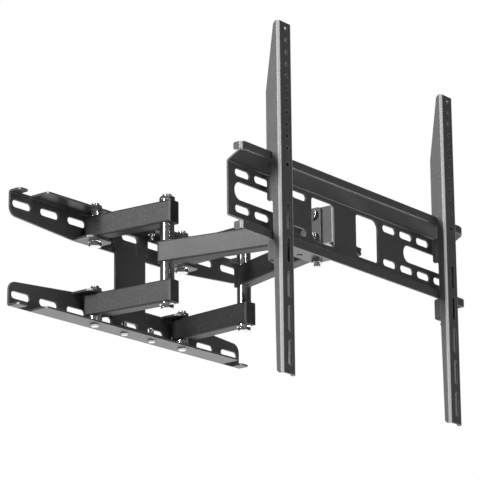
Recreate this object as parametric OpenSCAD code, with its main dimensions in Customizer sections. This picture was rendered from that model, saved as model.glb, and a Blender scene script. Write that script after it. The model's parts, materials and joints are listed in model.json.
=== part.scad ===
/* [Folds] */
// Radius of the folds along the middle of the sheet
bend_r = 2.6; // [1.8:0.1:3]
// Radius of the box sections' long edges
tube_r = 2.5; // [2.1:0.1:3]

/* [Wall rails] */
// Length of each rail along the wall
rail_len = 442; // [430:1:470]
// Sheet thickness of the rails, plate, yoke and fork
sheet = 2.5; // [2:0.1:2.8]
// Height of each rail's outer face above the middle of the mount
rail_top = 75.5; // [75.5:0.5:80]
// Height of the web's inner edge in the middle of a rail
rail_inner = 34; // [32:0.5:35]
// Height of the web's inner edge at a rail's ends
rail_end_inner = 42; // [38:0.5:44]
// Half length of the straight middle of the web's inner edge
rail_flat_half = 106; // [104:1:115]
// Radius of the web's end corners
rail_corner_r = 12; // [8:1:14]
// Depth of the outer flange and the pivot ears in front of the web
flange_depth = 30; // [28:0.5:32]
// Half length of the full depth flange
flange_half = 184; // [175:1:190]
// Depth of the short tabs at the rail's ends
end_tab_depth = 17; // [12:0.5:20]
// Length of the short tabs at the rail's ends
end_tab_len = 16; // [12:0.5:20]
// Width of each pivot ear
ear_w = 44; // [36:1:48]
// Corner radius of the pivot ears
ear_r = 8; // [4:0.5:10]
// Radius of the rounded corners of the flanges' ends
flange_r = 3; // [1:0.5:5]
// Number of slots in each rail
rail_slots = 9; // [7:2:9]
// Distance between neighbouring wall slots
wall_slot_pitch = 50; // [46:1:52]
// Height of the slot rows above the middle
wall_slot_z = 59; // [57:0.5:61]
// Length of a wall slot from end to end
wall_slot_len = 33; // [25:0.5:36]
// Width of a wall slot
wall_slot_w = 9.5; // [7:0.5:11]

/* [Centre plate] */
// Width of the plate between the rails
plate_w = 58; // [50:1:64]
// Width of the plate over the rails
plate_head_w = 68; // [64:1:76]
// Height of the step where the plate widens
plate_step_z = 42; // [40:0.5:46]
// Depth of the plate's lips in front of the rails
lip_depth = 26; // [22:0.5:28]
// Distance between the two screws in a lip
plate_screw_span = 52; // [46:1:54]
// Half width of the tongue cut in the centre plate
tongue_half = 11.5; // [8:0.5:14]
// Height of the tongue's upper cut
tongue_high = 50; // [48:0.5:52]
// Length of the tongue's side cut
tongue_len = 13; // [8:0.5:16]
// Width of the tongue's cuts
tongue_cut = 1.2; // [0.8:0.1:2]
// Shank radius of the plate screws
plate_screw_r = 3; // [2.5:0.1:3.5]
// Distance of the plate screws in front of the rails' web
screw_out = 16; // [14:0.5:18]
// Length of a plate screw's shank inside the lip
plate_screw_len = 13; // [10:0.5:14]

/* [Arms] */
// Distance from the middle to each wall pivot
wall_pivot_x = 84; // [80:0.5:90]
// Distance of the wall pivots in front of the web
wall_pivot_out = 18; // [16.5:0.5:20]
// Pivot to pivot length of a first link
first_len = 113; // [111:0.5:125]
// Pivot to pivot length of a second link
second_len = 166; // [164:0.5:180]
// Width of the links' box section
link_w = 20; // [18:0.5:22]
// Wall thickness of the links
link_wall = 2; // [1.5:0.1:2.5]
// Radius of the links' upright end corners
link_corner_r = 3; // [1:0.5:4]
// Height of the lower face of the upper first links
first_low = 37; // [37:0.5:40]
// Height of the upper face of the upper first links
first_high = 66; // [62:0.5:67]
// First link beyond the wall pivot
first_over_wall = 11; // [9:0.5:12]
// First link beyond the elbow
first_over_elbow = 12; // [10:0.5:14]
// Half height of a second link
second_half = 14; // [12:0.5:14]
// Second link beyond the elbow
second_over = 10; // [9:0.5:12]
// Radius of the wall pivot bolts
wall_bolt_r = 5; // [4:0.1:5.5]
// Radius of the elbow pins
elbow_pin_r = 6; // [5:0.1:6.5]
// Radius of the elbow sleeves
sleeve_r = 9; // [8.5:0.1:9.5]
// Reach of the wall pivot bolts past their nuts
wall_tip = 3; // [1:0.5:5]
// Reach of the elbow pins past their nuts
elbow_tip = 3; // [1:0.5:5]

/* [Head] */
// Sideways place of the head's middle
head_x = -3.2; // [-6:0.1:4]
// Distance of the head's pivots in front of the wall
head_out = 293.2; // [288:0.1:294]
// Turn of the head about the upright axis
head_turn = 2.24; // [0:0.01:3]
// Distance between the two head pivots
head_span = 62; // [60:0.5:64]
// Distance from the head pivots to the crossbar's front
head_reach = 66; // [65:0.5:72]
// Inner half height of the yoke
yoke_half = 15.5; // [15.2:0.1:17]
// Radius of the yoke's rounded ends
yoke_r = 14; // [12:0.5:15]
// Distance from the head pivots to the yoke's front wall
yoke_wall_out = 16.5; // [14.5:0.5:18]
// Radius of the yoke pins
yoke_pin_r = 4; // [3.5:0.1:4.5]
// Reach of the yoke pins past their nuts
yoke_tip = 5; // [2:0.5:7]
// Place of the hole in the yoke's plates behind the pivot line
yoke_hole_y = 3.6; // [0:0.1:6]
// Radius of the hole in the middle of the yoke's plates
yoke_hole_r = 4; // [3:0.5:6]
// Room round the pin that closes the right arm
closing_gap = 3.3; // [3.1:0.1:3.5]
// Bottom edge of the tilt ears
tilt_low = -17.5; // [-19:0.5:-16]
// Top edge of the tilt ears
tilt_high = 29; // [28.5:0.5:32]
// Distance of the tilt bolts behind the crossbar's front
tilt_bolt_back = 30; // [29:0.5:32]
// Height of the tilt pivot
tilt_pivot_z = 20; // [18:0.5:21]
// Distance from the tilt pivot down to the lock bolt
tilt_lock_drop = 28; // [26:0.5:29]
// Radius of the tilt bolts
tilt_bolt_r = 4; // [3.5:0.1:4.5]
// Reach of the tilt pivot bolt past its nut
tilt_tip = 4; // [2:0.5:6]
// Number of lobes on the star knob
knob_lobes = 6; // [5:1:8]
// Outer half width of the fork
fork_half = 23.5; // [22:0.5:26]
// Distance from the tilt bolts to the front of the fork
fork_front = 10; // [9:0.5:11]
// Distance from the tilt bolts to the back of the tilt bracket's ears
bracket_ear_back = 7; // [6:0.5:7]
// Corner radius of the tilt bracket's ears
bracket_ear_r = 12; // [11:0.5:13]
// Corner radius of the fork's ears
fork_ear_r = 4; // [2:0.5:6]
// Sideways gap between fork and tilt bracket
fork_gap = 0.5; // [0.3:0.1:1]
// Most that the head tilts with its top forward
tilt_forward = 15; // [10:1:15]
// Most that the head tilts with its top back
tilt_back = 5; // [2:1:6]
// Reach of the lock bolt's threaded end to the left
lock_bolt_left = 46; // [42:1:56]
// Reach of the lock bolt to the right
lock_bolt_right = 66; // [60:1:76]
// Radius of the star knob
knob_r = 8; // [6:0.5:10]
// Length of the star knob
knob_len = 12; // [8:0.5:14]

/* [Crossbar] */
// Length of the crossbar
bar_len = 464; // [450:1:500]
// Half height of the crossbar's web
bar_half = 32; // [31:0.5:34]
// Sheet thickness of the crossbar
bar_sheet = 2; // [1.5:0.1:2.2]
// Depth of the crossbar's slanted flanges
bar_depth = 20; // [18:0.5:21]
// Rise of the slanted flanges
bar_rise = 10.5; // [8:0.5:12]
// Height of the lips' outer edges above the middle
bar_lip_top = 53.5; // [52:0.5:56]
// Distance between neighbouring slots of the crossbar
bar_slot_pitch = 37; // [35:0.5:38]
// Place of the first slot of the crossbar
bar_slot_first = 94; // [92:1:96]
// Height of the slot rows
bar_slot_z = 22; // [20:0.5:23]
// Length of a slot from end to end
bar_slot_len = 27.5; // [20:0.5:30]
// Width of a slot
bar_slot_w = 9; // [7:0.5:10]
// Inner end of the long ovals
oval_from = 125; // [120:1:130]
// Outer end of the long ovals
oval_to = 220; // [210:1:221]
// Height of the long ovals
oval_h = 22; // [18:0.5:24]
// Inner edge of the windows
window_from = 23; // [21:0.5:25]
// Outer edge of the windows
window_to = 69; // [60:0.5:74]
// Half height of the windows
window_half = 27; // [24:0.5:28]
// Small corner radius of the windows
window_r = 5; // [3:0.5:7]
// Large corner radius of the windows
window_big_r = 10; // [8:0.5:14]
// Depth of the tabs at the lips' ends
bar_tab_depth = 12; // [8:0.5:14]
// Height of the tabs at the lips' ends
bar_tab_h = 9; // [7:0.5:9]
// Distance of the tabs below the lips' outer edges
bar_tab_gap = 1; // [0.5:0.5:2]
// Corner radius of the tabs
bar_tab_r = 2; // [1:0.5:3]
// Length of lip cut away for the tabs
bar_tab_cut = 6; // [5:0.5:8]

/* [TV brackets] */
// Height of each bracket
bracket_h = 430; // [420:1:470]
// Width of each bracket
bracket_w = 26; // [24:0.5:30]
// Sheet thickness of the brackets and lock plates
bracket_sheet = 2; // [1.5:0.1:2.2]
// Place of the left bracket's middle along the crossbar
left_bracket_x = -163; // [-200:1:-70]
// Place of the right bracket's middle along the crossbar
right_bracket_x = 183; // [90:1:200]
// Distance of the brackets' front before the crossbar's front
bracket_front = 34; // [33:0.5:37]
// Full depth of the brackets' sides
bracket_depth = 20; // [19:0.5:20.5]
// Depth of the brackets' sides at the top end
bracket_top_depth = 8; // [6:0.5:12]
// Depth of the brackets' sides just below the crossbar's middle
bracket_low_depth = 12; // [10:0.5:12]
// Depth of the brackets' sides at the bottom end
bracket_end_depth = 9; // [7:0.5:11]
// Height where the brackets' sides reach their full depth
bracket_full_z = 129; // [110:1:150]
// Sideways offset of the hole row
hole_off = 1.5; // [0:0.5:3]
// Radius of the small round holes
hole_r = 2.6; // [2:0.1:3]
// Distance between the small round holes
hole_pitch = 15; // [13:0.5:16]
// Number of small round holes
holes = 11; // [8:1:11]
// Height of the highest small hole below the top end
hole_drop = 7; // [6:0.5:10]
// Width of the bracket slots
slot_w = 6.5; // [5:0.5:8]
// Length of the bracket slots from end to end
slot_len = 31; // [24:0.5:33]
// Distance between the bracket slots
slot_pitch = 41; // [40:0.5:43]
// Middle of the highest bracket slot
slot_first_z = -26; // [-30:1:-24]
// Number of bracket slots
bracket_slots = 5; // [3:1:5]
// Height of the single large hole
lip_hole_z = 38; // [34:0.5:42]
// Top of the middle stretch that has full depth
pad_high = 24; // [20:0.5:27]
// Bottom of the middle stretch that has full depth
pad_low = -7; // [-10:0.5:-4]
// Sloped corners of the middle stretch
pad_cut = 2; // [1:0.5:3]
// Sloped corners at the brackets' ends
end_cut = 3; // [1:0.5:4]
// Corner radius of the notch round the crossbar's lip
notch_r = 3; // [2:0.5:4]
// Length of the hook behind the crossbar's lip
hook_len = 6; // [4:0.5:7]
// Radius of the single large hole
lip_hole_r = 3.5; // [3:0.1:4]
// Height of the lock plates
lock_h = 27; // [24:0.5:32]
// Corner radius of the lock plates
lock_corner_r = 3; // [1:0.5:5]
// Radius of the lock screws
lock_screw_r = 2.5; // [2:0.1:3]
// Gap between a lock plate and the head of its tightened screw
lock_head_gap = 3; // [1:0.5:4]

/* [Clearances] */
// Radial running clearance of pins in their bores
running = 0.05; // [0.03:0.01:0.08]
// Radial clearance of screws and bolts in plain holes
loose = 0.3; // [0.2:0.05:0.4]
// Clearance between flat faces that slide on each other
slide_gap = 0.1; // [0.05:0.05:0.2]
// Clearance between a bracket and the crossbar that it hangs on
hang_gap = 0.3; // [0.2:0.05:0.4]

/* [Hidden] */
$fn = 64;
eps = 0.01;
// Flats that stand for one slanted fold
fold_steps = 6;

// Colours of the finishes
coat = [0.17, 0.17, 0.18];
arm_coat = [0.26, 0.26, 0.27];
zinc = [0.78, 0.78, 0.80];
plastic = [0.08, 0.08, 0.08];

// Sizes that follow from the ones above
rail_half = rail_len / 2;
pivot_y = -sheet - wall_pivot_out;
lip_z = rail_top - sheet;
ear_top = rail_inner + sheet;
plate_y = -2 * sheet;
screw_x = plate_screw_span / 2;
screw_y = -sheet - screw_out;
yoke_top = yoke_half + sheet;
yoke_wall_y = -yoke_wall_out - sheet;
fork_base_y = yoke_wall_y - sheet;
tilt_y = tilt_bolt_back - head_reach;
bracket_half = fork_half - sheet - fork_gap;
tilt_base_y = bar_sheet - head_reach;
tilt_lock_z = tilt_pivot_z - tilt_lock_drop;
bracket_inner = bracket_w / 2 - bracket_sheet;
lip_notch_y = -bar_depth - 2;
hook_y = -bar_depth + bar_sheet + hang_gap;
hook_z = bar_lip_top - hook_len;
notch_top = bar_lip_top + hang_gap;
lock_top = -bar_lip_top - hang_gap;
lock_y = -bar_depth + bar_sheet / 2;
tube_inner_r = max(tube_r - link_wall, 0.3);
corner_inner_r = max(link_corner_r - link_wall, 0.3);

// Heads, nuts and washers
function nut_h(r) = 1.1 * r;
function head_h(r) = 1.15 * r;
function flats(r) = 3 * r;
washer_h = 1.6;
function screw_head_r(r) = 1.85 * r;
function screw_head_h(r) = 0.9 * r;
wall_head_r = 1.3 * wall_bolt_r;
wall_head_h = 0.6 * wall_bolt_r;
elbow_head_h = 0.9 * elbow_pin_r;
elbow_head_flats = 2.35 * elbow_pin_r;
elbow_nut_h = 0.8 * elbow_pin_r;
elbow_nut_flats = 2.9 * elbow_pin_r;
lock_head_r = 1.8 * lock_screw_r;
lock_head_h = 1.2 * lock_screw_r;
collar_r = 1.8 * tilt_bolt_r;

// Rest pose of the linkage
head_c = [head_x, -head_out];
head_dir = [cos(head_turn), sin(head_turn)];
function head_pivot(side) = head_c + side * head_span / 2 * head_dir;
function wall_pivot(side) = [side * wall_pivot_x, pivot_y];
// Elbow where the two links of one arm meet, on its outer side
function elbow(side) =
    let (
        from = wall_pivot(side),
        span = head_pivot(side) - from,
        reach = norm(span),
        along = (first_len * first_len - second_len * second_len + reach * reach) / (2 * reach),
        across = sqrt(max(0, first_len * first_len - along * along)),
        dir = span / reach
    )
    from + along * dir - side * across * [dir[1], -dir[0]];
// Angle of a link from the way straight off the wall, turning towards +X
function swing(from, to) = atan2(to[0] - from[0], from[1] - to[1]);

// Flat outlines
module slot_2d(length, width) {
    square([length - width, width], center = true);
    for (side = [-1, 1])
        translate([side * (length - width) / 2, 0])
            circle(d = width);
}

module round_box_2d(size, r) {
    square([size[0] - 2 * r, size[1]], center = true);
    square([size[0], size[1] - 2 * r], center = true);
    for (i = [-1, 1], j = [-1, 1])
        translate([i * (size[0] / 2 - r), j * (size[1] / 2 - r)])
            circle(r = r);
}

// Turn of a folded line at its point i, positive to the left
function turn_at(p, i) =
    let (
        a = p[i] - p[i - 1],
        b = p[i + 1] - p[i]
    )
    (atan2(b[1], b[0]) - atan2(a[1], a[0]) + 540) % 360 - 180;

// Length that the fold at point i takes from each straight beside it
function fold_cut(p, i, r) = i == 0 || i == len(p) - 1 ? 0 : r * tan(abs(turn_at(p, i)) / 2);

// Section of a folded sheet of thickness t along the middle line p
module folded_2d(p, t, r = bend_r) {
    for (i = [0 : len(p) - 2]) {
        dir = way(p, i);
        start = p[i] + fold_cut(p, i, r) * dir;
        end = p[i + 1] - fold_cut(p, i + 1, r) * dir;
        translate(start)
            rotate(atan2(dir[1], dir[0]))
                translate([0, -t / 2])
                    square([norm(end - start), t]);
    }
    for (i = [1 : len(p) - 2]) {
        dir = way(p, i - 1);
        turn = turn_at(p, i);
        hand = sign(turn);
        centre = p[i] - fold_cut(p, i, r) * dir + hand * r * left_of(dir);
        first = atan2(dir[1], dir[0]) - hand * 90;
        far = 2 * (r + t);
        translate(centre)
            intersection() {
                difference() {
                    circle(r = r + t / 2);
                    circle(r = r - t / 2);
                }
                polygon([
                    [0, 0],
                    far * [cos(first), sin(first)],
                    far * [cos(first + turn / 2), sin(first + turn / 2)] / cos(turn / 4),
                    far * [cos(first + turn), sin(first + turn)]
                ]);
            }
    }
}

// Direction of stretch i of a folded line, and the same turned a quarter to the left
function way(p, i) = (p[i + 1] - p[i]) / norm(p[i + 1] - p[i]);
function left_of(v) = [-v[1], v[0]];

// Points of one side of a folded sheet, off to the left of its middle line p
function fold_side(p, off, r) = concat(
    [p[0] + off * left_of(way(p, 0))],
    [for (i = [1 : len(p) - 2])
        let (
            dir = way(p, i - 1),
            turn = turn_at(p, i),
            hand = sign(turn),
            centre = p[i] - fold_cut(p, i, r) * dir + hand * r * left_of(dir),
            first = atan2(dir[1], dir[0]) - hand * 90
        )
        for (k = [0 : fold_steps])
            let (a = first + turn * k / fold_steps)
            centre + (r - hand * off) * [cos(a), sin(a)]],
    [p[len(p) - 1] + off * left_of(way(p, len(p) - 2))]
);

function backward(list) = [for (i = [len(list) - 1 : -1 : 0]) list[i]];

// Section of a sheet with slanted folds
module slanted_2d(p, t, r = bend_r) {
    polygon(concat(fold_side(p, t / 2, r), backward(fold_side(p, -t / 2, r))));
}

// An outline in X and Z, made solid from y to y + depth
module upright(y, depth) {
    translate([0, y + depth, 0])
        rotate([90, 0, 0])
            linear_extrude(depth)
                children();
}

// An outline in Y and Z, made solid from x to x + width
module sideways(x, width) {
    translate([x, 0, 0])
        rotate([90, 0, 90])
            linear_extrude(width)
                children();
}

// Fasteners along Z, with the seat of the head or nut at the given height
module hex(r, height, across = 0) {
    wide = across > 0 ? across : flats(r);
    corner = wide / 2 / cos(30);
    cut = 0.6 * (corner - wide / 2);
    intersection() {
        cylinder(r = corner, h = height, $fn = 6);
        rotate_extrude()
            polygon([
                [0, 0], [wide / 2, 0], [corner, cut], [corner, height - cut], [wide / 2, height], [0, height]
            ]);
    }
}

module nut(r, height = 0, across = 0) {
    tall = height > 0 ? height : nut_h(r);
    difference() {
        hex(r, tall, across);
        translate([0, 0, -1])
            cylinder(r = r + running, h = tall + 2);
    }
}

// A low round head with a sloped rim, seat down
module round_head(r, height) {
    rotate_extrude()
        polygon([[0, 0], [r, 0], [r, 0.5 * height], [0.75 * r, height], [0, height]]);
}

module washer(r, height = washer_h) {
    difference() {
        cylinder(r = 1.85 * r, h = height);
        translate([0, 0, -1])
            cylinder(r = r + running, h = height + 2);
    }
}

module head_frame() {
    translate([head_c[0], head_c[1], 0])
        rotate([0, 0, head_turn])
            children();
}

module bar_frame() {
    head_frame()
        translate([0, -head_reach, 0])
            children();
}

// Wall rails
module rail_web_2d() {
    polygon([
        [-rail_half, rail_top], [rail_half, rail_top],
        [rail_half, rail_end_inner + rail_corner_r], [rail_half - rail_corner_r, rail_end_inner],
        [rail_flat_half, rail_inner], [-rail_flat_half, rail_inner],
        [-rail_half + rail_corner_r, rail_end_inner], [-rail_half, rail_end_inner + rail_corner_r]
    ]);
    for (side = [-1, 1])
        translate([side * (rail_half - rail_corner_r), rail_end_inner + rail_corner_r])
            circle(r = rail_corner_r);
}

// Outline of the outer flange seen along Z: a long middle, a gap, then a short tab at each end
module flange_2d() {
    long = flange_depth + sheet;
    short = end_tab_depth + sheet;
    translate([0, -long / 2])
        round_box_2d([2 * flange_half, long], flange_r);
    for (side = [-1, 1])
        translate([side * (rail_half - end_tab_len / 2), -short / 2])
            round_box_2d([end_tab_len, short], flange_r);
    translate([0, -sheet / 2])
        square([rail_len, sheet], center = true);
    translate([-flange_half, -long / 2])
        square([2 * flange_half, long / 2]);
    for (side = [-1, 1])
        translate([side * (rail_half - end_tab_len / 2), -short / 4])
            square([end_tab_len, short / 2], center = true);
}

module ear_2d() {
    depth = flange_depth + sheet;
    translate([0, -depth / 2])
        round_box_2d([ear_w, depth], ear_r);
    translate([-ear_w / 2, -depth / 2])
        square([ear_w, depth / 2]);
}

// An outline in X and Y, made solid over the rail's height
module rail_plan() {
    linear_extrude(rail_top + 1)
        children();
}

module wall_rail() {
    front = -flange_depth - sheet;
    web = -sheet / 2;
    lip_mid = rail_top - sheet / 2;
    ear_mid = ear_top - sheet / 2;
    difference() {
        union() {
            intersection() {
                sideways(-rail_half, rail_len)
                    folded_2d([[front, lip_mid], [web, lip_mid], [web, rail_inner]], sheet);
                upright(front - 1, 1 - front)
                    rail_web_2d();
                rail_plan()
                    flange_2d();
            }
            for (side = [-1, 1])
                translate([side * wall_pivot_x, 0, 0])
                    intersection() {
                        sideways(-ear_w / 2, ear_w)
                            folded_2d([[web, rail_end_inner], [web, ear_mid], [front, ear_mid]], sheet);
                        rail_plan()
                            ear_2d();
                    }
        }
        for (i = [0 : rail_slots - 1])
            upright(-sheet - 1, sheet + 2)
                translate([(i - (rail_slots - 1) / 2) * wall_slot_pitch, wall_slot_z])
                    slot_2d(wall_slot_len, wall_slot_w);
        for (side = [-1, 1])
            translate([side * wall_pivot_x, pivot_y, rail_inner - 1])
                cylinder(r = wall_bolt_r + running, h = rail_top - rail_inner + 2);
        for (side = [-1, 1])
            translate([side * screw_x, screw_y, lip_z - 1])
                cylinder(r = plate_screw_r + loose, h = sheet + 2);
    }
}

module upper_wall_rail() {
    color(coat)
        wall_rail();
}

module lower_wall_rail() {
    color(coat)
        mirror([0, 0, 1])
            wall_rail();
}

module plate_2d() {
    square([plate_w, 2 * lip_z + 2], center = true);
    for (side = [-1, 1])
        translate([-plate_head_w / 2, side > 0 ? plate_step_z : -lip_z - 1])
            square([plate_head_w, lip_z - plate_step_z + 1]);
}

// Two cuts that free a corner of a small tongue
module tongue_2d() {
    translate([-tongue_half, tongue_high - tongue_cut])
        square([2 * tongue_half, tongue_cut]);
    translate([tongue_half - tongue_cut, tongue_high - tongue_len])
        square([tongue_cut, tongue_len]);
}

module centre_plate() {
    web = plate_y + sheet / 2;
    front = plate_y - lip_depth;
    top = lip_z - sheet / 2;
    color(coat)
        difference() {
            intersection() {
                sideways(-plate_head_w / 2, plate_head_w)
                    folded_2d([[front, top], [web, top], [web, -top], [front, -top]], sheet);
                upright(front - 1, 1 - front)
                    plate_2d();
            }
            for (side = [-1, 1])
                upright(plate_y - 1, sheet + 2)
                    translate([0, side * wall_slot_z])
                        slot_2d(wall_slot_len, wall_slot_w);
            upright(plate_y - 1, sheet + 2)
                tongue_2d();
            for (side = [-1, 1])
                translate([side * screw_x, screw_y, -lip_z - 1])
                    cylinder(r = plate_screw_r + loose, h = 2 * lip_z + 2);
        }
}

module plate_screw_places() {
    for (up = [0, 1], side = [-1, 1])
        mirror([0, 0, up])
            translate([side * screw_x, screw_y, 0])
                children();
}

module plate_screws() {
    color(zinc)
        plate_screw_places() {
            translate([0, 0, lip_z - plate_screw_len])
                cylinder(r = plate_screw_r, h = sheet + plate_screw_len + eps);
            translate([0, 0, rail_top])
                round_head(screw_head_r(plate_screw_r), screw_head_h(plate_screw_r));
        }
}

module plate_nuts() {
    color(zinc)
        plate_screw_places()
            translate([0, 0, lip_z - sheet - nut_h(plate_screw_r)])
                nut(plate_screw_r);
}

// The wall pivot bolts all point up: the upper pair has its heads under the ears
module wall_pivot_places() {
    for (side = [-1, 1])
        translate([side * wall_pivot_x, pivot_y, 0])
            children();
}

module wall_pivot_bolts() {
    shank = rail_top - rail_inner + nut_h(wall_bolt_r) + wall_tip;
    color(zinc)
        wall_pivot_places() {
            translate([0, 0, rail_inner - washer_h - head_h(wall_bolt_r)])
                hex(wall_bolt_r, head_h(wall_bolt_r));
            translate([0, 0, rail_inner - washer_h - eps])
                cylinder(r = wall_bolt_r, h = shank + washer_h);
            translate([0, 0, -rail_top])
                mirror([0, 0, 1])
                    round_head(wall_head_r, wall_head_h);
            translate([0, 0, -rail_top - eps])
                cylinder(r = wall_bolt_r, h = shank);
        }
}

module wall_pivot_nuts() {
    color(zinc)
        wall_pivot_places() {
            translate([0, 0, rail_top])
                nut(wall_bolt_r);
            translate([0, 0, -rail_inner])
                nut(wall_bolt_r);
        }
}

module wall_pivot_washers() {
    color(zinc)
        wall_pivot_places()
            translate([0, 0, rail_inner - washer_h])
                washer(wall_bolt_r);
}

module wall_pivot_bushes() {
    color(zinc)
        wall_pivot_places()
            for (up = [0, 1])
                mirror([0, 0, up])
                    translate([0, 0, first_high + slide_gap])
                        washer(wall_bolt_r, lip_z - first_high - slide_gap);
}

// A closed box section lying along -Y from its first pivot
module link_box(length, over_a, over_b, low, high, inset, edge_r, corner_r) {
    width = link_w - 2 * inset;
    long = length + over_a + over_b - 2 * inset;
    middle = (over_a - length - over_b) / 2;
    height = high - low - 2 * inset;
    intersection() {
        translate([0, 0, (low + high) / 2])
            upright(middle - long / 2, long)
                round_box_2d([width, height], edge_r);
        translate([0, middle, low])
            linear_extrude(high - low)
                round_box_2d([width, long], corner_r);
    }
}

module box_link(length, over_a, over_b, low, high, bore_a, bore_b) {
    difference() {
        link_box(length, over_a, over_b, low, high, 0, tube_r, link_corner_r);
        link_box(length, over_a, over_b, low, high, link_wall, tube_inner_r, corner_inner_r);
        translate([0, 0, low - 1])
            cylinder(r = bore_a, h = high - low + 2);
        translate([0, -length, low - 1])
            cylinder(r = bore_b, h = high - low + 2);
    }
}

module first_link(side, up) {
    from = wall_pivot(side);
    color(arm_coat)
        translate([from[0], from[1], 0])
            rotate([0, 0, swing(from, elbow(side))])
                mirror([0, 0, up > 0 ? 0 : 1])
                    box_link(
                        first_len, first_over_wall, first_over_elbow, first_low, first_high,
                        wall_bolt_r + running, elbow_pin_r + running
                    );
}

module second_link(side) {
    from = elbow(side);
    color(arm_coat)
        translate([from[0], from[1], 0])
            rotate([0, 0, swing(from, head_pivot(side))])
                box_link(
                    second_len, second_over, second_over, -second_half, second_half,
                    elbow_pin_r + running, yoke_pin_r + (side > 0 ? closing_gap : running)
                );
}

module at_elbow(side) {
    translate([elbow(side)[0], elbow(side)[1], 0])
        children();
}

module elbow_pin(side) {
    color(zinc)
        at_elbow(side) {
            translate([0, 0, -first_high - washer_h - elbow_head_h])
                hex(elbow_pin_r, elbow_head_h, elbow_head_flats);
            translate([0, 0, -first_high - washer_h - eps])
                cylinder(r = elbow_pin_r, h = 2 * first_high + 2 * washer_h + elbow_nut_h + elbow_tip);
        }
}

module elbow_sleeves(side) {
    color(zinc)
        at_elbow(side)
            for (up = [0, 1])
                mirror([0, 0, up])
                    translate([0, 0, second_half + slide_gap])
                        difference() {
                            cylinder(r = sleeve_r, h = first_low - second_half - slide_gap);
                            translate([0, 0, -1])
                                cylinder(r = elbow_pin_r + running, h = first_low - second_half + 2);
                        }
}

module elbow_washers(side) {
    color(zinc)
        at_elbow(side)
            for (up = [0, 1])
                mirror([0, 0, up])
                    translate([0, 0, first_high])
                        difference() {
                            cylinder(r = 1.65 * elbow_pin_r, h = washer_h);
                            translate([0, 0, -1])
                                cylinder(r = elbow_pin_r + running, h = washer_h + 2);
                        }
}

module elbow_nut(side) {
    color(zinc)
        at_elbow(side)
            translate([0, 0, first_high + washer_h])
                nut(elbow_pin_r, elbow_nut_h, elbow_nut_flats);
}

module left_upper_first_link() { first_link(-1, 1); }
module left_lower_first_link() { first_link(-1, -1); }
module left_elbow_pin() { elbow_pin(-1); }
module left_elbow_sleeves() { elbow_sleeves(-1); }
module left_elbow_washers() { elbow_washers(-1); }
module left_elbow_nut() { elbow_nut(-1); }
module left_second_link() { second_link(-1); }
module right_upper_first_link() { first_link(1, 1); }
module right_lower_first_link() { first_link(1, -1); }
module right_elbow_pin() { elbow_pin(1); }
module right_elbow_sleeves() { elbow_sleeves(1); }
module right_elbow_washers() { elbow_washers(1); }
module right_elbow_nut() { elbow_nut(1); }
module right_second_link() { second_link(1); }

// Yoke: two plates with round ends and a front wall, folded from one sheet
module yoke_plate_2d() {
    half = head_span / 2;
    translate([-half, -yoke_r])
        square([head_span, 2 * yoke_r]);
    for (side = [-1, 1])
        translate([side * half, 0])
            circle(r = yoke_r);
    translate([-half - yoke_r, yoke_wall_y])
        square([head_span + 2 * yoke_r, -yoke_wall_y]);
}

module yoke() {
    side = yoke_half + sheet / 2;
    wall = yoke_wall_y + sheet / 2;
    half = head_span / 2 + yoke_r;
    color(coat)
        head_frame()
            difference() {
                intersection() {
                    sideways(-half, 2 * half)
                        folded_2d([[yoke_r, side], [wall, side], [wall, -side], [yoke_r, -side]], sheet);
                    translate([0, 0, -yoke_top])
                        linear_extrude(2 * yoke_top)
                            yoke_plate_2d();
                }
                for (side = [-1, 1])
                    translate([side * head_span / 2, 0, -yoke_top - 1])
                        cylinder(r = yoke_pin_r + running, h = 2 * yoke_top + 2);
                translate([0, yoke_hole_y, -yoke_top - 1])
                    cylinder(r = yoke_hole_r, h = 2 * yoke_top + 2);
            }
}

module yoke_pin(side) {
    color(zinc)
        head_frame()
            translate([side * head_span / 2, 0, 0]) {
                translate([0, 0, yoke_top])
                    round_head(screw_head_r(yoke_pin_r), screw_head_h(yoke_pin_r));
                translate([0, 0, -yoke_top - nut_h(yoke_pin_r) - yoke_tip])
                    cylinder(r = yoke_pin_r, h = 2 * yoke_top + nut_h(yoke_pin_r) + yoke_tip + eps);
            }
}

module left_yoke_pin() { yoke_pin(-1); }
module right_yoke_pin() { yoke_pin(1); }

module yoke_nuts() {
    color(zinc)
        head_frame()
            for (side = [-1, 1])
                translate([side * head_span / 2, 0, -yoke_top - nut_h(yoke_pin_r)])
                    nut(yoke_pin_r);
}

module yoke_washers() {
    color(zinc)
        head_frame()
            for (side = [-1, 1], up = [0, 1])
                mirror([0, 0, up])
                    translate([side * head_span / 2, 0, second_half + slide_gap])
                        difference() {
                            cylinder(r = link_w / 2, h = yoke_half - second_half - slide_gap);
                            translate([0, 0, -1])
                                cylinder(r = yoke_pin_r + running, h = yoke_half - second_half + 2);
                        }
}

// Tilt joint: a fork welded on the yoke and a bracket welded on the crossbar
module ear_outline(back_y, front_y, r) {
    depth = back_y - front_y;
    height = tilt_high - tilt_low;
    translate([(back_y + front_y) / 2, (tilt_high + tilt_low) / 2])
        round_box_2d([depth, height], r);
}

module lock_arc_2d(r) {
    turns = [for (a = [-tilt_back - 1, tilt_forward + 1]) a];
    far = 2 * tilt_lock_drop;
    intersection() {
        difference() {
            circle(r = tilt_lock_drop + r);
            circle(r = tilt_lock_drop - r);
        }
        polygon([
            [0, 0],
            [far * sin(turns[0]), -far * cos(turns[0])],
            [far * sin(turns[1]), -far * cos(turns[1])]
        ]);
    }
    for (a = turns)
        translate([tilt_lock_drop * sin(a), -tilt_lock_drop * cos(a)])
            circle(r = r);
}

// A U folded about an upright line, as high as the tilt ears
module tilt_u(half, base, tips) {
    side = half - sheet / 2;
    translate([0, 0, tilt_low])
        linear_extrude(tilt_high - tilt_low)
            folded_2d([[-side, tips], [-side, base], [side, base], [side, tips]], sheet);
}

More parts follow.
